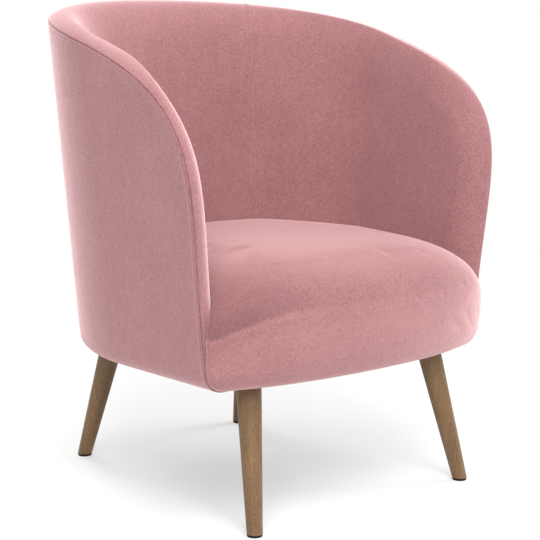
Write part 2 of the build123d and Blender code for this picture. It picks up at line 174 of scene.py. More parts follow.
def mirror_p(points):
    """The same (p, z) points on the other side of the chair."""
    return points * (-1, 1) + (2 * MIDDLE, 0)


def rim_seam():
    """The seam round the rim as dense (p, z) places, from the left arm over the back to the right arm."""
    drawn, even = SEAM_STEPS
    t = np.linspace(0, 1, drawn)[:, None]
    s = 1 - t
    a, b, c, d = (np.array(q) for q in SEAM_CURVE)
    curve = a * s ** 3 + 3 * b * t * s ** 2 + 3 * c * t ** 2 * s + d * t ** 3
    curve = np.concatenate([[(ARM_FRONT_Y, LOW_Z)], curve])
    share = np.clip((curve[:, 0] - SIDE_END_Y) / (BACK_Y - SIDE_END_Y), 0, 1)
    corner = SIDE_END_Y + CORNER_LENGTH * corner_share(corner_y, share, rising=True)
    half = np.stack([np.where(curve[:, 0] < SIDE_END_Y, curve[:, 0], corner), curve[:, 1]], -1)
    length = runs_of(half)
    half = at_runs(half, length, np.linspace(0, length[-1], even))
    return np.concatenate([half, mirror_p(half[-2::-1])])


SEAM = rim_seam()
SEAM_RUNS = runs_of(SEAM)
LEFT_HALF = slice(len(SEAM) // 2)
ALONG = np.gradient(SEAM, axis=0) / np.linalg.norm(np.gradient(SEAM, axis=0), axis=1)[:, None]
INTO_PANEL = np.stack([ALONG[:, 1], -ALONG[:, 0]], -1)


def seam_at(runs, depth=0.0):
    """Places at distances along the rim seam, moved into the panels by depth."""
    return at_runs(SEAM + INTO_PANEL * depth, SEAM_RUNS, runs)


def upright_p(z, x_at_ref, wall):
    """Plan distance of an upright panel seam at height z."""
    x = x_at_ref + (z - SEAM_REF_Z) * SEAM_LEAN
    return SIDE_END_Y + CORNER_LENGTH * corner_share(corner_x, x / (side_x(z) - wall), rising=False)


def upright_run(depth, x_at_ref, wall):
    """Distance along the rim seam at which an upright seam reaches the line that lies depth below it."""
    places = (SEAM + INTO_PANEL * depth)[LEFT_HALF]
    return np.interp(0, places[:, 0] - upright_p(places[:, 1], x_at_ref, wall), SEAM_RUNS[LEFT_HALF])


INNER_RUN = upright_run(RIM_DROP, INNER_SEAM_X, ARM_WALL)
OUTER_RUN = upright_run(EDGE_ROLL, OUTER_SEAM_X, 0.0)
PATCH_RUN = np.interp(PATCH_CORNER_Z, SEAM[LEFT_HALF, 1], SEAM_RUNS[LEFT_HALF])
WHOLE_RUN = SEAM_RUNS[-1]


def roll_in(distance):
    """How far a panel's edge sinks at this distance from its seam."""
    d = np.clip(EDGE_ROLL - distance, 0, EDGE_ROLL)
    return EDGE_ROLL - np.sqrt(EDGE_ROLL ** 2 - d ** 2)


def beside_upright(places, x_at_ref, wall):
    """How far a face sinks beside its upright seams, and how far off those it is towards the middle."""
    p = np.minimum(places[..., 0], 2 * MIDDLE - places[..., 0])
    off = p - upright_p(places[..., 1], x_at_ref, wall)
    return roll_in(np.abs(off)), off


def beside_inner(places):
    """How far the inner face sinks beside its +X seam, less the ridge of the cloth turned in there."""
    sunk, off = beside_upright(places, INNER_SEAM_X, ARM_WALL)
    ridge = INNER_RIDGE * ease(0.0, EDGE_ROLL, off) * (1 - ease(*INNER_RIDGE_ENDS, off))
    return (sunk - ridge) * (places[..., 0] < MIDDLE)


def beside_rim(places):
    """How far the outer face sinks beside the rim seam, less the ridge of the turned-in cloth."""
    distance = np.array([np.sqrt(((SEAM - place) ** 2).sum(-1).min()) for place in places.reshape(-1, 2)])
    distance = distance.reshape(places.shape[:-1]) - EDGE_ROLL
    return roll_in(distance) - RIDGE * ease(0.0, EDGE_ROLL, distance) * (1 - ease(*RIDGE_ENDS, distance))


# Rows of the rim from its outer seam: the rolled edge, the way to the crest and the turn down inside
CROWN_ROWS = 6
TURN_ROWS = 19
CROWN = np.linspace(0, 1, CROWN_ROWS + 1)[1:]
TURN = np.linspace(0, math.pi / 2, TURN_ROWS + 1)[1:]
ROW_EDGE = np.concatenate([EDGE_STEPS, 0 * CROWN + EDGE_ROLL, 0 * TURN + EDGE_ROLL])[None]
ROW_CROWN = np.concatenate([0 * EDGE_STEPS, CROWN, 0 * TURN + 1])[None]
ROW_TURN = np.concatenate([0 * EDGE_STEPS, 0 * CROWN, TURN])[None]


def between(values, p):
    """Value at a plan distance, from those at the rim's stations."""
    first, second, third = values
    up = ease(*RIM_STATIONS[:2], p)
    return first + (second - first) * up + (third - second) * ease(*RIM_STATIONS[1:], p)


def rim_strip(runs, seamed=True):
    """Rim over part of the seam as a grid of places; seamed where the upright inner seam runs into it."""
    place = seam_at(runs)[:, None]
    into = at_runs(INTO_PANEL, SEAM_RUNS, runs)[:, None]
    end = place + into * RIM_DROP
    depth = beside_inner(end) * seamed
    p = np.minimum(place[..., 0], 2 * MIDDLE - place[..., 0])
    crest_share, rise = between(RIM_CREST_SHARES, p), between(RIM_RISES, p)
    outer, inner = outer_point(*np.moveaxis(place, -1, 0)), inner_point(*np.moveaxis(place, -1, 0))
    wall = np.linalg.norm(inner - outer, axis=-1)
    crest = crest_share * wall
    flat = EDGE_ROLL + ROW_EDGE + ROW_CROWN * (crest - 2 * EDGE_ROLL)
    across = np.where(ROW_TURN > 0, crest + (wall - crest) * np.sin(ROW_TURN), flat) / wall
    crown = -rise * (1 - (1 - flat / crest) ** 2)
    drop = np.where(ROW_TURN > 0, (RIM_DROP + rise) * (1 - np.cos(ROW_TURN)) - rise, crown)
    drop = drop + roll_in(ROW_EDGE) + depth * np.cos(ROW_TURN)
    at = place + into * drop[..., None]
    outside = outer_point(at[..., 0], at[..., 1])
    inside = inner_point(at[..., 0], at[..., 1], depth * np.sin(ROW_TURN))
    return outside + (inside - outside) * across[..., None]


WELD = 0.02 * MM
SEAT_WELD = 0.01 * MM


def grid_mesh(points):
    """Grid sheet whose vertices take the given places, in millimetres, as a bmesh."""
    rows, columns = points.shape[:2]
    sheet = bmesh.new()
    bmesh.ops.create_grid(sheet, x_segments=columns - 1, y_segments=rows - 1, size=1.0)
    for vert in sheet.verts:
        i = round((vert.co.y + 1) / 2 * (rows - 1))
        j = round((vert.co.x + 1) / 2 * (columns - 1))
        vert.co = Vector(points[i, j] * MM)
    return sheet


def finish_mesh(name, parts, outward):
    """One object from bmesh sheets welded where they meet, with normals facing outward."""
    whole = bmesh.new()
    for part in parts:
        piece = bpy.data.meshes.new("part")
        part.to_mesh(piece)
        part.free()
        whole.from_mesh(piece)
        bpy.data.meshes.remove(piece)
    bmesh.ops.remove_doubles(whole, verts=whole.verts, dist=WELD)
    bmesh.ops.recalc_face_normals(whole, faces=whole.faces)
    facing = sum(
        outward(face.calc_center_median()).dot(face.normal) * face.calc_area() for face in whole.faces
    )
    if facing < 0:
        bmesh.ops.reverse_faces(whole, faces=whole.faces)
    for face in whole.faces:
        face.smooth = True
    mesh = bpy.data.meshes.new(name)
    whole.to_mesh(mesh)
    whole.free()
    piece = bpy.data.objects.new(name, mesh)
    bpy.context.collection.objects.link(piece)
    return piece


def panel_between(left, right, low, high, v, u):
    """Panel drawn between four boundary lines of (p, z) points, at shares v up its sides and u across it."""
    v, u = v[:, None, None], u[None, :, None]
    ruled_v = (1 - v) * low[None] + v * high[None]
    ruled_u = (1 - u) * left[:, None] + u * right[:, None]
    corners = (1 - u) * (1 - v) * low[0] + u * (1 - v) * low[-1] + (1 - u) * v * high[0] + u * v * high[-1]
    return ruled_v + ruled_u - corners


def upright(low_z, top, x_at_ref, wall, v):
    """Upright seam from a height to the place where it meets the rim, at shares v."""
    z = low_z + (top[1] - low_z) * v
    return np.stack([upright_p(z, x_at_ref, wall), z], -1)


def away_from_wall(place):
    """Direction out of the padding at a place on the inside cover."""
    return Vector((-place.x, -place.y, 0.3))


def wing_panel(name, mirrored):
    """Inside cover of one side, with its share of the rim; its upright seam shows on the +X side only."""
    side_runs = steps(PATCH_RUN, STATION_GAP)
    top_runs = steps(INNER_RUN - PATCH_RUN, STATION_GAP, end=BESIDE_STEPS)
    v, u = side_runs / side_runs[-1], top_runs / top_runs[-1]
    left, high = seam_at(side_runs, RIM_DROP), seam_at(PATCH_RUN + top_runs, RIM_DROP)
    right = upright(HIDDEN_Z, high[-1], INNER_SEAM_X, ARM_WALL, v)
    low = left[0] + (right[0] - left[0]) * u[:, None]
    grid = panel_between(left, right, low, high, v, u)
    seamed = not mirrored
    face = inner_point(grid[..., 0], grid[..., 1], beside_inner(grid) * seamed)
    rim = rim_strip(np.concatenate([side_runs, PATCH_RUN + top_runs[1:]]), seamed)
    if mirrored:
        rim, face = rim * (-1, 1, 1), face * (-1, 1, 1)
    return finish_mesh(name, [grid_mesh(rim), grid_mesh(face)], away_from_wall)


CENTRE_ROWS = 70


def centre_panel(name):
    """Inside cover of the back between its two seams, with its share of the rim."""
    length = WHOLE_RUN - 2 * INNER_RUN
    runs = steps(length, STATION_GAP, BESIDE_STEPS, BESIDE_STEPS)
    v, u = np.linspace(0, 1, CENTRE_ROWS), runs / length
    high = seam_at(INNER_RUN + runs, RIM_DROP)
    left = upright(HIDDEN_Z, high[0], INNER_SEAM_X, ARM_WALL, v)
    right = mirror_p(left)
    low = left[0] + (right[0] - left[0]) * u[:, None]
    grid = panel_between(left, right, low, high, v, u)
    face = inner_point(grid[..., 0], grid[..., 1], beside_inner(grid))
    return finish_mesh(name, [grid_mesh(rim_strip(INNER_RUN + runs)), grid_mesh(face)], away_from_wall)


def out_of_tub(place):
    """Direction away from the middle of the tub."""
    return Vector((place.x, place.y, 0.0))


# Lower edge of the outside covers: a flat strip turned in under the chair, then the rounding; the front edge
# of the rounding is turned in beside the seat
HEM_FLAT = (12.0, 6.0)
HEM_ROWS = 8
HEM_TURNS = np.linspace(math.pi / 2, 0, HEM_ROWS + 1)[:-1]
TURNED_IN = (0.0, 2.0, 5.0, 9.0, 14.0)


def outer_panel(name, left, right, low, high, v, u, beside_seat):
    """Outside cover over a (p, z) patch, with its rounded lower edge and the cloth turned in by the seat."""
    grid = panel_between(left, right, low, high, v, u)
    rim, side = beside_rim(grid), beside_upright(grid, OUTER_SEAM_X, 0.0)[0]
    depth = np.where(side > 0, np.maximum(rim, side), rim)
    rows = [(UNDERSIDE_Z, BOTTOM_ROUND + flat) for flat in HEM_FLAT]
    for turn in HEM_TURNS:
        rows.append((LOW_Z - BOTTOM_ROUND * math.sin(turn), BOTTOM_ROUND * (1 - math.cos(turn))))
    hem = np.array([outer_point(low[:, 0], z + 0 * low[:, 0], inset + depth[0]) for z, inset in rows])
    sheets = [np.concatenate([hem, outer_point(grid[..., 0], grid[..., 1], depth)])]
    if beside_seat:
        insets = depth[0, 0] + np.array(TURNED_IN)
        edge = rows + [(LOW_Z, 0.0)]
        sheets.append(np.array([outer_point(low[0, 0], z, inset + insets) for z, inset in edge]))
    return finish_mesh(name, [grid_mesh(sheet) for sheet in sheets], out_of_tub)


def side_panel(name, mirrored):
    """Outside cover of one side."""
    side_runs = steps(PATCH_RUN, STATION_GAP, end=RIDGE_STEPS)
    top_runs = steps(OUTER_RUN - PATCH_RUN, STATION_GAP, RIDGE_STEPS, BESIDE_STEPS)
    v, u = side_runs / side_runs[-1], top_runs / top_runs[-1]
    left, high = seam_at(side_runs, EDGE_ROLL), seam_at(PATCH_RUN + top_runs, EDGE_ROLL)
    right = upright(LOW_Z, high[-1], OUTER_SEAM_X, 0.0, v)
    low = left[0] + (right[0] - left[0]) * u[:, None]
    if mirrored:
        left, right, low, high = (mirror_p(points) for points in (left, right, low, high))
    return outer_panel(name, left, right, low, high, v, u, beside_seat=True)


def back_panel(name):
    """Outside cover of the back."""
    length = WHOLE_RUN - 2 * OUTER_RUN
    runs = steps(length, STATION_GAP, BESIDE_STEPS, BESIDE_STEPS)
    high = seam_at(OUTER_RUN + runs, EDGE_ROLL)
    height = high[0, 1] - LOW_Z
    v, u = steps(height, STATION_GAP, end=RIDGE_STEPS) / height, runs / length
    left = upright(LOW_Z, high[0], OUTER_SEAM_X, 0.0, v)
    right = mirror_p(left)
    low = left[0] + (right[0] - left[0]) * u[:, None]
    return outer_panel(name, left, right, low, high, v, u, beside_seat=False)


# Seat, as in the solid but for its lower edge beside the arm fronts; the shares are of the height from the
# underside to the crown
SEAT_HEIGHT = 220.1
SEAT_BULGE = 71.0
SEAT_BACK_Y = 200.0
SEAT_LOW_Z = 219.5
SEAT_PLAN_POWER = 0.964
SEAT_CROWN_POWER = 1.795
SEAT_TOP = (
    # distance behind the arm fronts, share at the middle, share at the sides; the first two follow the front
    (None, 0.469, 0.26),
    (None, 0.87, 0.3),
    (-4.0, 1.008, 0.25),
    (256.0, 0.877, 0.338),
    (426.0, 0.877, 0.388),
)
SEAT_PROFILE_STEPS = (120, 60)
# The seat's underside rises over the frame, out of sight, between these two places
SEAT_HIDDEN_RISE = 60.0
SEAT_STEP_YS = (-150.0, -170.0)
SEAT_COLUMNS = 121
SEAT_AROUND = 220
CLEAR_OF_ARMS_X = 60.0
WAIST_SETBACK = 40.8
WAIST_POWER = 2 / 2.9
SEAT_ROUNDS = (30.0, 50.0)
SEAT_ROUND_ANGLES = (62.0, 80.0)
CLEARANCE = 0.3
WALL_SOFTNESS = 1.4
SEAT_MIDDLE = Vector((0.0, -0.05, 0.32))


def seat_section(angle, count):
    """Closed side profile of the seat at one angle round its plan, as (y, z) points."""
    plan = max(math.cos(angle), 0.0)
    crown = 1 - (1 - plan) ** SEAT_CROWN_POWER
    front_y = ARM_FRONT_Y - SEAT_BULGE * plan ** SEAT_PLAN_POWER
    waist_y = front_y + WAIST_SETBACK * math.sqrt(plan)
    points = [
        (
            front_y if behind is None else ARM_FRONT_Y + behind,
            UNDERSIDE_Z + SEAT_HEIGHT * (side + (middle - side) * crown),
        )
        for behind, middle, side in SEAT_TOP
    ]
    top_steps, under_steps = SEAT_PROFILE_STEPS
    t = np.linspace(0, 1, top_steps)[:, None]
    degree = len(points) - 1
    top = sum(
        math.comb(degree, k) * np.array(point) * t ** k * (1 - t) ** (degree - k)
        for k, point in enumerate(points)
    )
    turn = np.linspace(0, math.pi / 2, under_steps)
    front_z = points[0][1]
    under = np.stack([
        front_y + (waist_y - front_y) * (1 - np.sin(turn) ** WAIST_POWER),
        front_z - (front_z - SEAT_LOW_Z) * np.cos(turn) ** WAIST_POWER,
    ], -1)
    hidden_z = SEAT_LOW_Z + SEAT_HIDDEN_RISE
    closing = [(SEAT_BACK_Y, hidden_z), (SEAT_STEP_YS[0], hidden_z), (SEAT_STEP_YS[1], SEAT_LOW_Z)]
    loop = np.concatenate([under, top[1:], closing, under[:1]])
    runs = runs_of(loop)
    return at_runs(loop, runs, np.linspace(0, runs[-1], count + 1))


def wall_limit(y, z):
    """Half width left to the seat by the arms at a place."""
    turn = np.arccos(np.clip(1 - (y - ARM_FRONT_Y) / RIM_DROP, 0, 1))
    side = side_x(z) - ARM_WALL * np.sin(turn)
    depth = INNER_BACK_Y + (z - UNDERSIDE_Z) * INNER_BACK_SLOPE - SIDE_END_Y
    t = corner_share(corner_y, np.clip((y - SIDE_END_Y) / depth, 0, 1), rising=True)
    return np.where(y < SIDE_END_Y, side, (side_x(z) - ARM_WALL) * corner_x(t))


def soft_least(a, b, softness):
    """Smaller of two lengths, with the change from one to the other rounded."""
    return -softness * np.logaddexp(-a / softness, -b / softness)


def seat_mesh():
    """The seat as a closed bmesh."""
    places = np.zeros((SEAT_AROUND + 1, SEAT_COLUMNS, 3))
    for j, angle in enumerate(np.linspace(-math.pi / 2, math.pi / 2, SEAT_COLUMNS)):
        y, z = seat_section(angle, SEAT_AROUND).T
        share = 1 - float(ease(*SEAT_ROUND_ANGLES, abs(math.degrees(angle))))
        radius = SEAT_ROUNDS[0] + (SEAT_ROUNDS[1] - SEAT_ROUNDS[0]) * share
        below = np.clip(radius - (z - UNDERSIDE_Z), 0, radius)
        free = (side_x(z) - radius + np.sqrt(radius ** 2 - below ** 2)) * abs(math.sin(angle))
        x = np.maximum(soft_least(free, wall_limit(y, z) - CLEARANCE, WALL_SOFTNESS), 0)
        x = np.where(free < CLEAR_OF_ARMS_X, free, x)
        places[:, j] = np.stack([math.copysign(1, angle) * x, y, z], -1)
    sheet = grid_mesh(places)
    border = [vert for vert in sheet.verts if vert.is_boundary]
    bmesh.ops.remove_doubles(sheet, verts=border, dist=SEAT_WELD)
    bmesh.ops.edgeloop_fill(sheet, edges=[edge for edge in sheet.edges if edge.is_boundary])
    bmesh.ops.triangulate(sheet, faces=[face for face in sheet.faces if len(face.verts) > 4])
    return sheet


# Dust cloth, stretched under the seat
DUST_STEPS = 90
DUST_Z = 218.4
DUST_INSET = 34.0
DUST_FRONT_Y = -218.0
DUST_BOW = 30.0
DUST_FRONT_HALF_WIDTH = 250.0
DUST_PLEAT_EVERY = 26.0
DUST_PLEATED_RUN = 700.0
DUST_PLEAT = 0.35
DUST_PLEAT_FADE = 4
DUST_SAG = 0.5
LEG_TOPS = ((195.0, -209.5), (150.0, 216.0))
LEG_HOLE_RADIUS = 22.0
LEG_HOLE_SNAP = 3.2
LEG_HOLE_MARGIN = 0.1


def downward(place):
    """Direction out of the chair at a place on its underside."""
    return Vector((0.0, 0.0, -1.0))


def dust_cloth(name):
    """Thin cloth under the seat: its edge is stapled all round and shows small pulls."""
    across = np.linspace(-1, 1, DUST_STEPS)
    front_x = across * DUST_FRONT_HALF_WIDTH
    radius = (DUST_FRONT_HALF_WIDTH ** 2 + DUST_BOW ** 2) / (2 * DUST_BOW)
    front_y = DUST_FRONT_Y - DUST_BOW + radius - np.sqrt(radius ** 2 - front_x ** 2)
    p = MIDDLE + (MIDDLE - DUST_FRONT_Y) * -across
    rim_x, rim_y = plan_point(p, BASE_HALF_WIDTH - DUST_INSET, BACK_Y - DUST_INSET)
    places = np.zeros((DUST_STEPS, DUST_STEPS, 3))
    for i, share in enumerate(np.linspace(0, 1, DUST_STEPS)):
        places[i, :, 0] = front_x * (1 - share) + rim_x * share
        places[i, :, 1] = front_y * (1 - share) + rim_y * share
        hang = math.sin(math.pi * share)
        run = across * DUST_PLEATED_RUN
        edge = (1 - hang) ** DUST_PLEAT_FADE * DUST_PLEAT * np.cos(2 * math.pi * run / DUST_PLEAT_EVERY)
        places[i, :, 2] = DUST_Z - DUST_SAG * hang * (1 - across ** 2) + edge
    for x, y in LEG_TOPS:
        centre = np.stack([np.sign(places[..., 0]) * x, 0 * places[..., 0] + y], -1)
        away = places[..., :2] - centre
        distance = np.linalg.norm(away, axis=-1, keepdims=True)
        near = np.abs(distance - LEG_HOLE_RADIUS) < LEG_HOLE_SNAP
        places[..., :2] = np.where(near, centre + away * LEG_HOLE_RADIUS / distance, places[..., :2])
    sheet = grid_mesh(places)
    within = LEG_HOLE_RADIUS - LEG_HOLE_MARGIN
    gone = [
        vert for vert in sheet.verts
        if any(math.hypot(abs(vert.co.x) / MM - x, vert.co.y / MM - y) < within for x, y in LEG_TOPS)
    ]
    bmesh.ops.delete(sheet, geom=gone, context="VERTS")
    return finish_mesh(name, [sheet], downward)


# Swelling of the seat cover as cloth, held where it is stapled or pressed by the tub
HELD_DEPTH = 40.0
VOXEL = 6.0 * MM
PRESSURE = 4.0
SWELL_CAP = 2.0 * MM
SWELL_FRAMES = 20
LEAST_MOVE = 1e-9
PRESSED_WITHIN = 2 * CLEARANCE + 3 * WALL_SOFTNESS


def evaluated(piece):
    """Mesh of a piece with its modifiers."""
    return bpy.data.meshes.new_from_object(piece.evaluated_get(bpy.context.evaluated_depsgraph_get()))


def places_of(mesh):
    """Places of a mesh's vertices as rows."""
    flat = np.empty(len(mesh.vertices) * 3, dtype=np.float32)
    mesh.vertices.foreach_get("co", flat)
    return flat.reshape(-1, 3).astype(float)


def is_held(place):
    """Whether the seat is stapled or held down at a place, in millimetres."""
    x, y, z = place
    pressed = y > ARM_FRONT_Y and abs(x) > float(wall_limit(y, z)) - PRESSED_WITHIN
    return z < LOW_Z or y > SEAT_BACK_Y - HELD_DEPTH or pressed


def normals_of(mesh):
    """Normals of a mesh's vertices as rows."""
    return np.array([vert.normal for vert in mesh.vertices])


def place_all(mesh, places):
    """Move a mesh's vertices to the given places."""
    mesh.vertices.foreach_set("co", places.astype(np.float32).ravel())


def swell(piece):
    """Remesh a closed piece evenly, blow it up as cloth, keep the change small and smooth the outcome."""
    remesh = piece.modifiers.new("even", "REMESH")
    remesh.mode = "VOXEL"
    remesh.voxel_size = VOXEL
    bpy.context.view_layer.update()
    even = evaluated(piece)
    piece.modifiers.clear()
    piece.data = even
    start, normals = places_of(even), normals_of(even)
    cloth = piece.modifiers.new("cloth", "CLOTH")
    cloth.settings.use_pressure = True
    cloth.settings.uniform_pressure_force = PRESSURE
    cloth.settings.effector_weights.gravity = 0.0
    held = piece.vertex_groups.new(name="held")
    held.add([k for k, place in enumerate(start) if is_held(place / MM)], 1.0, "REPLACE")
    cloth.settings.vertex_group_mass = "held"
    cloth.point_cache.frame_start = 1
    cloth.point_cache.frame_end = SWELL_FRAMES
    for number in range(1, SWELL_FRAMES + 1):
        bpy.context.scene.frame_set(number)
    moved = places_of(evaluated(piece)) - start
    piece.modifiers.clear()
    bpy.context.scene.frame_set(1)
    length = np.maximum(np.linalg.norm(moved, axis=1), LEAST_MOVE)
    moved *= np.minimum(1, SWELL_CAP / length)[:, None]
    moved -= normals * (moved * normals).sum(1).mean()
    place_all(even, start + moved)
    smooth = piece.modifiers.new("smooth", "SUBSURF")
    smooth.levels = smooth.render_levels = 1
    bpy.context.view_layer.update()
    piece.data = evaluated(piece)
    piece.modifiers.clear()
    for polygon in piece.data.polygons:
        polygon.use_smooth = True


# Soft fold in the seat cover, rising from the arm on the -X side to its top, which is given as x and z
FOLD_ENDS_X = (-285.0, -125.0)
FOLD_FADE = 45.0
FOLD_TOP = (-141.0, 336.6)
FOLD_BEND = 0.0016
FOLD_WIDTH = 9.0
FOLD_DEPTH = 2.5


def fold_height(x, z):
    """Height of the fold over the seat's front at a place, in millimetres."""
    line = FOLD_TOP[1] - FOLD_BEND * (x - FOLD_TOP[0]) ** 2
    off = (z - line) / FOLD_WIDTH
    low, high = FOLD_ENDS_X
    fade = ease(low - FOLD_FADE, low, x) * (1 - ease(high - FOLD_FADE, high, x))
    return -FOLD_DEPTH * fade * off * np.exp(-off ** 2)


def out_of_seat(place):
    """Direction away from the middle of the seat."""
    return place - SEAT_MIDDLE


def build_seat(name):
    """The seat: its form, blown up a little as cloth, with the fold in its front."""
    seat = finish_mesh(name, [seat_mesh()], out_of_seat)
    swell(seat)
    places = places_of(seat.data)
    x, y, z = places.T / MM
    fold = np.where(y < ARM_FRONT_Y, fold_height(x, z), 0) * MM
    place_all(seat.data, places + normals_of(seat.data) * fold[:, None])
    return seat


# Materials. The grain that they share is a stretched noise, spread so that Low becomes 0 and High becomes 1
GRAIN_INPUTS = (
    ("Place", "NodeSocketVector", (0.0, 0.0, 0.0)),
    ("Stretch", "NodeSocketVector", (1.0, 1.0, 1.0)),
    ("Scale", "NodeSocketFloat", 100.0),
    ("Detail", "NodeSocketFloat", 3.0),
    ("Roughness", "NodeSocketFloat", 0.5),
    ("Low", "NodeSocketFloat", 0.0),
    ("High", "NodeSocketFloat", 1.0),
)


def join(tree, *pairs):
    """Link sockets, each pair from its first to its second."""
    for source, target in pairs:
        tree.links.new(source, target)


def grain_group():
    """Shader node group of the shared grain."""
    group = bpy.data.node_groups.new("grain", "ShaderNodeTree")
    for name, kind, value in GRAIN_INPUTS:
        group.interface.new_socket(name, in_out="INPUT", socket_type=kind).default_value = value
    group.interface.new_socket("Mask", in_out="OUTPUT", socket_type="NodeSocketFloat")
    given = group.nodes.new("NodeGroupInput").outputs
    result = group.nodes.new("NodeGroupOutput").inputs
    mapping = group.nodes.new("ShaderNodeMapping")
    noise = group.nodes.new("ShaderNodeTexNoise")
    mask = group.nodes.new("ShaderNodeMapRange")
    join(
        group,
        (given["Place"], mapping.inputs["Vector"]),
        (given["Stretch"], mapping.inputs["Scale"]),
        (mapping.outputs["Vector"], noise.inputs["Vector"]),
        (given["Scale"], noise.inputs["Scale"]),
        (given["Detail"], noise.inputs["Detail"]),
        (given["Roughness"], noise.inputs["Roughness"]),
        (noise.outputs["Fac"], mask.inputs["Value"]),
        (given["Low"], mask.inputs["From Min"]),
        (given["High"], mask.inputs["From Max"]),
        (mask.outputs["Result"], result["Mask"]),
    )
    return group


GRAIN = grain_group()


def new_material(name):
    """Empty node material with its output."""
    material = bpy.data.materials.new(name)
    material.use_nodes = True
    material.node_tree.nodes.clear()
    out = material.node_tree.nodes.new("ShaderNodeOutputMaterial")
    return material, material.node_tree, out


def add_node(tree, kind, **values):
    """New node with its settings and input values."""
    made = tree.nodes.new(kind)
    for key, value in values.items():
        if hasattr(made, key) and key not in made.inputs:
            setattr(made, key, value)
        else:
            made.inputs[key].default_value = value
    return made


def object_place(tree):
    """Place on the surface, in metres."""
    return add_node(tree, "ShaderNodeTexCoord").outputs["Object"]


def grain(tree, place, **values):
    """Mask of the grain group, placed in a material with its own values."""
    placed = add_node(tree, "ShaderNodeGroup", node_tree=GRAIN, **values)
    join(tree, (place, placed.inputs["Place"]))
    return placed.outputs["Mask"]


def spread(tree, value, low, high):
    """Value stretched so that low becomes 0 and high becomes 1."""
    ramp = add_node(tree, "ShaderNodeMapRange")
    ramp.inputs["From Min"].default_value = low
    ramp.inputs["From Max"].default_value = high
    join(tree, (value, ramp.inputs["Value"]))
    return ramp.outputs["Result"]


# Sockets of a node that mixes colours: its factor, its two colours and its outcome
MIX_FACTOR, MIX_FIRST, MIX_SECOND = 0, 6, 7
MIX_OUTCOME = 2


def mix_colour(tree, factor, first, second, blend="MIX"):
    """Colour between first and second, any of which may be a socket."""
    mix = add_node(tree, "ShaderNodeMix", data_type="RGBA", blend_type=blend)
    for number, value in ((MIX_FACTOR, factor), (MIX_FIRST, first), (MIX_SECOND, second)):
        socket = mix.inputs[number]
        if isinstance(value, bpy.types.NodeSocket):
            join(tree, (value, socket))
        elif isinstance(value, float):
            socket.default_value = value
        else:
            socket.default_value = (*value, 1.0)
    return mix.outputs[MIX_OUTCOME]


def bump_from(tree, height, distance, strength, normal=None):
    """Normal bent by a height value."""
    bump = add_node(tree, "ShaderNodeBump", Strength=strength, Distance=distance)
    join(tree, (height, bump.inputs["Height"]))
    if normal is not None:
        join(tree, (normal, bump.inputs["Normal"]))
    return bump.outputs["Normal"]


def maths(tree, operation, first, second):
    """Outcome of one sum on two values, either of which may be a socket."""
    made = add_node(tree, "ShaderNodeMath", operation=operation)
    for socket, value in zip(made.inputs, (first, second)):
        if isinstance(value, bpy.types.NodeSocket):
            join(tree, (value, socket))
        else:
            socket.default_value = value
    return made.outputs[0]


def product(tree, *values):
    """Product of values, any of which may be a socket."""
    whole = values[0]
    for value in values[1:]:
        whole = maths(tree, "MULTIPLY", whole, value)
    return whole


def cover_surface(tree, out, colour, normal, **values):
    """Give a material its shader with constant values, and the colour and normal that change over it."""
    shader = add_node(tree, "ShaderNodeBsdfPrincipled", **values)
    join(
        tree,
        (colour, shader.inputs["Base Color"]),
        (normal, shader.inputs["Normal"]),
        (shader.outputs["BSDF"], out.inputs["Surface"]),
    )


# Painted shade on the seat's front above the fold, where the arm shades it, and painted light below the fold:
# limits behind the arm fronts, across the chair and above the line of the fold
PAINTED_LIGHT_AND_SHADE_BEHIND = (60.0, 10.0)
PAINTED_SHADE_ACROSS = (-70.0, -240.0)
PAINTED_SHADE_LEAST = 0.12
PAINTED_SHADE_STARTS = (-2.0, 4.0)
PAINTED_SHADE_ENDS = (110.0, 20.0)
PAINTED_LIGHT_STARTS = (4.0, -30.0)
PAINTED_SHADE_SHARE = 0.4
PAINTED_LIGHT_SHARE = 0.06


def spread_mm(tree, value, limits):
    """Value in metres spread between two limits in millimetres."""
    low, high = limits
    return spread(tree, value, low * MM, high * MM)


def painted_shade_and_light(tree, place):
    """How much painted shade lies on the seat's front above its fold beside the arm, and painted light below.
    """
    axes = add_node(tree, "ShaderNodeSeparateXYZ")
    join(tree, (place, axes.inputs[0]))
    x, y, z = axes.outputs
    front = spread_mm(tree, maths(tree, "SUBTRACT", y, ARM_FRONT_Y * MM), PAINTED_LIGHT_AND_SHADE_BEHIND)
    off = maths(tree, "MINIMUM", maths(tree, "SUBTRACT", x, FOLD_TOP[0] * MM), 0.0)
    line = product(tree, off, off, FOLD_BEND / MM)
    height = maths(tree, "ADD", maths(tree, "SUBTRACT", z, FOLD_TOP[1] * MM), line)
    beside_arm = maths(tree, "MAXIMUM", spread_mm(tree, x, PAINTED_SHADE_ACROSS), PAINTED_SHADE_LEAST)
    above = product(tree, spread_mm(tree, height, PAINTED_SHADE_STARTS), spread_mm(tree, height, PAINTED_SHADE_ENDS))
    # Painted shade, where the arm shades the seat's front above the fold
    dark = product(tree, above, beside_arm, front)
    painted_light = product(tree, spread_mm(tree, height, PAINTED_LIGHT_STARTS), front)
    return dark, painted_light
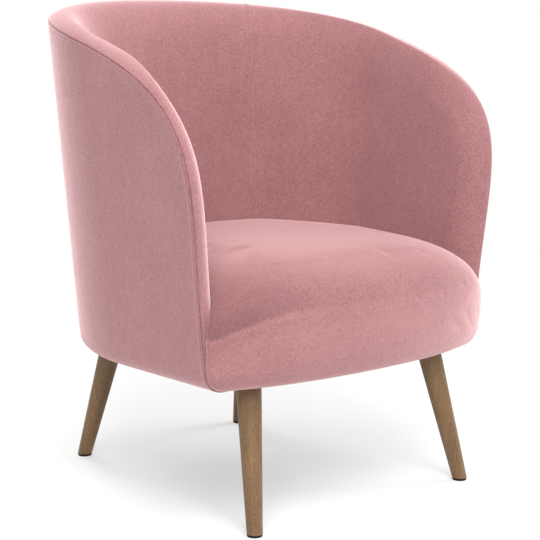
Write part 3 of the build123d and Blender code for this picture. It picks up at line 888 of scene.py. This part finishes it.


# Velvet: its tones and grains, how much of the tone the brushed patches and the tufts carry, and the painted
# sheen where the surface turns away from the eye
PINK_DARK = (0.195, 0.085, 0.089)
PINK_LIGHT = (0.352, 0.168, 0.174)
# Pink of the painted shade above the seat's fold, beside the arm
PINK_PAINTED_SHADE = (0.08, 0.032, 0.034)
# Pink of the painted sheen where the velvet turns away from the eye, also of the painted light below the
# seat's fold
PINK_PAINTED_LIGHT = (0.9, 0.46, 0.47)
BROAD = {"Scale": 9.0, "Detail": 2.0, "Low": 0.3, "High": 0.7}
PILE_LEAN = (1.0, 1.0, 0.6)
PATCHES = {"Stretch": PILE_LEAN, "Scale": 60.0, "Detail": 4.0, "Roughness": 0.6, "Low": 0.32, "High": 0.7}
TUFTS = {"Stretch": PILE_LEAN, "Scale": 520.0, "Roughness": 0.65, "Low": 0.35, "High": 0.65}
FIBRES = {"Scale": 900.0, "Detail": 2.0}
BRUSHED_SHARE = 0.5
TUFT_SHARE = 0.72
PAINTED_SHEEN_POWER = 4.0
PAINTED_SHEEN_SHARE = 0.36
VELVET_SHADER = {
    "Roughness": 0.9,
    "Specular IOR Level": 0.1,
    "Sheen Weight": 1.0,
    "Sheen Roughness": 0.4,
    "Sheen Tint": (1.0, 0.72, 0.73, 1.0),
}


def velvet_material(name, painted_front=False):
    """Velvet with a painted sheen where it turns from the eye, and painted shade and light on the seat's
    front.
    """
    material, tree, out = new_material(name)
    place = object_place(tree)
    broad = grain(tree, place, **BROAD)
    brushed = grain(tree, place, **PATCHES)
    tufts = grain(tree, place, **TUFTS)
    fibres = grain(tree, place, **FIBRES)
    tone = mix_colour(tree, TUFT_SHARE, mix_colour(tree, BRUSHED_SHARE, broad, brushed), tufts)
    pink = mix_colour(tree, tone, PINK_DARK, PINK_LIGHT)
    # Painted sheen: the pink turns pale where the surface turns away from the eye
    facing = add_node(tree, "ShaderNodeLayerWeight", Blend=0.5).outputs["Facing"]
    painted_sheen = product(tree, maths(tree, "POWER", facing, PAINTED_SHEEN_POWER), PAINTED_SHEEN_SHARE)
    pink = mix_colour(tree, painted_sheen, pink, PINK_PAINTED_LIGHT)
    # Painted shade above the seat's fold and painted light below it
    if painted_front:
        dark, painted_light = painted_shade_and_light(tree, place)
        pink = mix_colour(tree, product(tree, dark, PAINTED_SHADE_SHARE), pink, PINK_PAINTED_SHADE)
        pink = mix_colour(tree, product(tree, painted_light, PAINTED_LIGHT_SHARE), pink, PINK_PAINTED_LIGHT)
    normal = bump_from(tree, fibres, distance=0.5 * MM, strength=0.4)
    normal = bump_from(tree, tufts, distance=0.6 * MM, strength=0.4, normal=normal)
    normal = bump_from(tree, brushed, distance=1.0 * MM, strength=0.25, normal=normal)
    cover_surface(tree, out, pink, normal, **VELVET_SHADER)
    return material


# Wood: its grains, how many times finer pores and fibres are than the rings, and how much they tint it
RINGS = {"Stretch": (1.0, 1.0, 0.06), "Detail": 4.0, "Roughness": 0.6, "Low": 0.3, "High": 0.7}
PORES = {"Stretch": (1.0, 1.0, 0.03), "Detail": 2.0, "Low": 0.46, "High": 0.62}
WOOD_FIBRES = {"Stretch": (1.0, 1.0, 0.05), "Detail": 2.0}
PORES_PER_RING = 14
FIBRES_PER_RING = 30
PORE_SHADE = 0.55
PORE_SHARE = 0.35
FIBRE_SHARE = 0.2


def wood_material(name, light, dark, scale, roughness):
    """Straight-grained wood with pores and a broad change of tone."""
    material, tree, out = new_material(name)
    place = object_place(tree)
    rings = grain(tree, place, Scale=scale, **RINGS)
    pores = grain(tree, place, Scale=scale * PORES_PER_RING, **PORES)
    fibres = grain(tree, place, Scale=scale * FIBRES_PER_RING, **WOOD_FIBRES)
    shade = [channel * PORE_SHADE for channel in dark]
    colour = mix_colour(tree, rings, dark, light)
    colour = mix_colour(tree, PORE_SHARE, colour, mix_colour(tree, pores, shade, light))
    colour = mix_colour(tree, FIBRE_SHARE, colour, fibres, "OVERLAY")
    normal = bump_from(tree, pores, distance=0.3 * MM, strength=0.5)
    cover_surface(tree, out, colour, normal, Roughness=roughness)
    return material


# Strength of the highlight on metal and on all other plain surfaces
METAL_SPECULAR = 0.5
DULL_SPECULAR = 0.15


def plain_material(name, light, dark, scale, roughness, metallic=0.0, stretch=(1.0, 1.0, 1.0), depth=0.4):
    """Surface with a fine grain, for pieces inside the chair and for small fittings."""
    material, tree, out = new_material(name)
    mask = grain(tree, object_place(tree), Stretch=stretch, Scale=scale, Low=0.3, High=0.7)
    colour = mix_colour(tree, mask, dark, light)
    normal = bump_from(tree, mask, distance=depth * MM, strength=0.5)
    shine = {"Specular IOR Level": METAL_SPECULAR if metallic else DULL_SPECULAR}
    cover_surface(tree, out, colour, normal, Roughness=roughness, Metallic=metallic, **shine)
    return material


# Each wood: its light and dark tone, the scale of its rings and its roughness
WOODS = {
    "oak": ((0.2, 0.11, 0.041), (0.112, 0.057, 0.02), 55.0, 0.5),
    "plywood": ((0.66, 0.47, 0.28), (0.5, 0.33, 0.18), 20.0, 0.6),
    "timber": ((0.6, 0.42, 0.25), (0.42, 0.27, 0.15), 25.0, 0.6),
}
# Each plain surface: its light and dark tone, the scale of its grain, its roughness and what else it has
PLAIN_SURFACES = {
    "foam": ((0.9, 0.84, 0.66), (0.78, 0.7, 0.5), 500.0, 0.95, {}),
    "fleece": ((0.9, 0.9, 0.88), (0.74, 0.74, 0.72), 260.0, 0.95, {"depth": 1.0}),
    "fibreboard": ((0.3, 0.19, 0.11), (0.2, 0.12, 0.07), 300.0, 0.7, {}),
    "glide": ((0.012, 0.012, 0.012), (0.006, 0.006, 0.006), 700.0, 0.6, {}),
    "steel": ((0.62, 0.62, 0.64), (0.45, 0.45, 0.47), 900.0, 0.35, {"metallic": 1.0}),
    "webbing": ((0.08, 0.08, 0.08), (0.03, 0.03, 0.03), 500.0, 0.9, {"stretch": (1.0, 0.2, 1.0)}),
    "cambric": ((0.03, 0.03, 0.032), (0.012, 0.012, 0.013), 1200.0, 0.95, {}),
}

MATERIALS = {"velvet": velvet_material("velvet")}
for slot, look in WOODS.items():
    MATERIALS[slot] = wood_material(slot, *look)
for slot, (*look, special) in PLAIN_SURFACES.items():
    MATERIALS[slot] = plain_material(slot, *look, **special)


def dress(piece, slot, *nodes):
    """Give a new piece the material of its slot and its body, and hide the nodes that it stands for."""
    piece.data.materials.clear()
    piece.data.materials.append(MATERIALS[slot])
    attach(piece, "root")
    if nodes:
        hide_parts(*nodes)
    return piece


for row in frame["record"]["subparts"]:
    mesh = frame["nodes"][row["node"]].data
    mesh.materials.clear()
    mesh.materials.append(MATERIALS[row["material_slot"]])

for side, mirrored in (("left", False), ("right", True)):
    wing = dress(wing_panel(f"inside_{side}", mirrored), "velvet", f"inside_cover_{side}", f"foam_{side}")
    dress(side_panel(f"outside_{side}", mirrored), "velvet", f"outside_cover_{side}")
centre = dress(centre_panel("inside_back"), "velvet", "inside_cover_back", "foam_back")
dress(back_panel("outside_back"), "velvet", "outside_cover_back", "outer_wadding")
seat = dress(build_seat("seat"), "velvet", "seat_cover", "seat_fleece", "seat_foam")
seat.data.materials[0] = velvet_material("velvet_of_seat", painted_front=True)
dust = dress(dust_cloth("dust_cloth"), "cambric", "dust_cover")


# Floor: the camera sees its shade under an even glow, and it fades into the white surroundings
FLOOR_RADIUS = 3.0
FLOOR_SEGMENTS = 64
FLOOR_FADE = (0.9, 1.6)
FLOOR_PLAIN = (0.8, 0.8, 0.8, 1.0)
FLOOR_SHADED = (0.46, 0.46, 0.46, 1.0)
FLOOR_GLOW = 0.37
WHITE = (1.0, 1.0, 1.0, 1.0)
# Strength of the surroundings as light and as the camera sees them
SURROUNDINGS = (0.78, 1.0)
# Each lamp: its place, the place that it is aimed at, its width and its power
LAMPS = {
    "key": ((-1.2, -1.9, 2.6), (0.0, 0.0, 0.3), 2.2, 132.0),
    "side": ((2.6, -0.6, 1.6), (0.0, 0.0, 0.4), 1.6, 55.0),
    "behind": ((0.5, 2.3, 2.2), (0.0, 0.0, 0.2), 1.2, 30.0),
}


def seen_by_camera(tree):
    """1 for the camera's own rays, also through clear surfaces, and 0 for all others."""
    rays = add_node(tree, "ShaderNodeLightPath").outputs
    return maths(tree, "MAXIMUM", rays["Is Camera Ray"], rays["Is Transmission Ray"])


def add_floor():
    """White floor round the chair: it takes the shadow and fades into the white surroundings."""
    sheet = bmesh.new()
    bmesh.ops.create_circle(sheet, cap_ends=True, segments=FLOOR_SEGMENTS, radius=FLOOR_RADIUS)
    mesh = bpy.data.meshes.new("floor")
    sheet.to_mesh(mesh)
    sheet.free()
    floor = bpy.data.objects.new("floor", mesh)
    bpy.context.collection.objects.link(floor)
    material, tree, out = new_material("floor")
    distance = add_node(tree, "ShaderNodeVectorMath", operation="LENGTH")
    join(tree, (object_place(tree), distance.inputs[0]))
    fade = spread(tree, distance.outputs["Value"], *FLOOR_FADE)
    plain = add_node(tree, "ShaderNodeBsdfDiffuse", Color=FLOOR_PLAIN)
    shaded = add_node(tree, "ShaderNodeBsdfDiffuse", Color=FLOOR_SHADED)
    glow = add_node(tree, "ShaderNodeEmission", Color=WHITE, Strength=FLOOR_GLOW)
    clear = add_node(tree, "ShaderNodeBsdfTransparent")
    white = add_node(tree, "ShaderNodeAddShader")
    lit = add_node(tree, "ShaderNodeMixShader")
    faded = add_node(tree, "ShaderNodeMixShader")
    join(
        tree,
        (shaded.outputs[0], white.inputs[0]),
        (glow.outputs[0], white.inputs[1]),
        (seen_by_camera(tree), lit.inputs[0]),
        (plain.outputs[0], lit.inputs[1]),
        (white.outputs[0], lit.inputs[2]),
        (fade, faded.inputs[0]),
        (lit.outputs[0], faded.inputs[1]),
        (clear.outputs[0], faded.inputs[2]),
        (faded.outputs[0], out.inputs["Surface"]),
    )
    mesh.materials.append(material)


def aimed(name, data, place, target):
    """New lamp or camera at a place, aimed at a target."""
    made = bpy.data.objects.new(name, data)
    made.location = place
    made.rotation_euler = (Vector(target) - Vector(place)).to_track_quat("-Z", "Y").to_euler()
    bpy.context.collection.objects.link(made)
    return made


def add_lamp(name, place, target, width, power):
    """Soft square lamp."""
    data = bpy.data.lights.new(name, "AREA")
    data.size = width
    data.energy = power
    aimed(name, data, place, target)


def add_world():
    """White surroundings: full white to the camera, softer as light."""
    world = bpy.data.worlds.new("surroundings")
    bpy.context.scene.world = world
    world.use_nodes = True
    tree = world.node_tree
    tree.nodes.clear()
    out = add_node(tree, "ShaderNodeOutputWorld")
    background = add_node(tree, "ShaderNodeBackground", Color=WHITE)
    strength = add_node(tree, "ShaderNodeMapRange")
    strength.inputs["To Min"].default_value, strength.inputs["To Max"].default_value = SURROUNDINGS
    join(
        tree,
        (seen_by_camera(tree), strength.inputs["Value"]),
        (strength.outputs["Result"], background.inputs["Strength"]),
        (background.outputs["Background"], out.inputs["Surface"]),
    )


def add_camera():
    """Camera at the photograph's place and angle."""
    data = bpy.data.cameras.new("camera")
    data.lens = CAMERA_LENS
    data.sensor_width = CAMERA_SENSOR
    bpy.context.scene.camera = aimed("camera", data, CAMERA_PLACE, CAMERA_TARGET)


add_floor()
for lamp, values in LAMPS.items():
    add_lamp(lamp, *values)
add_world()
add_camera()
bpy.context.scene.view_settings.view_transform = "Standard"
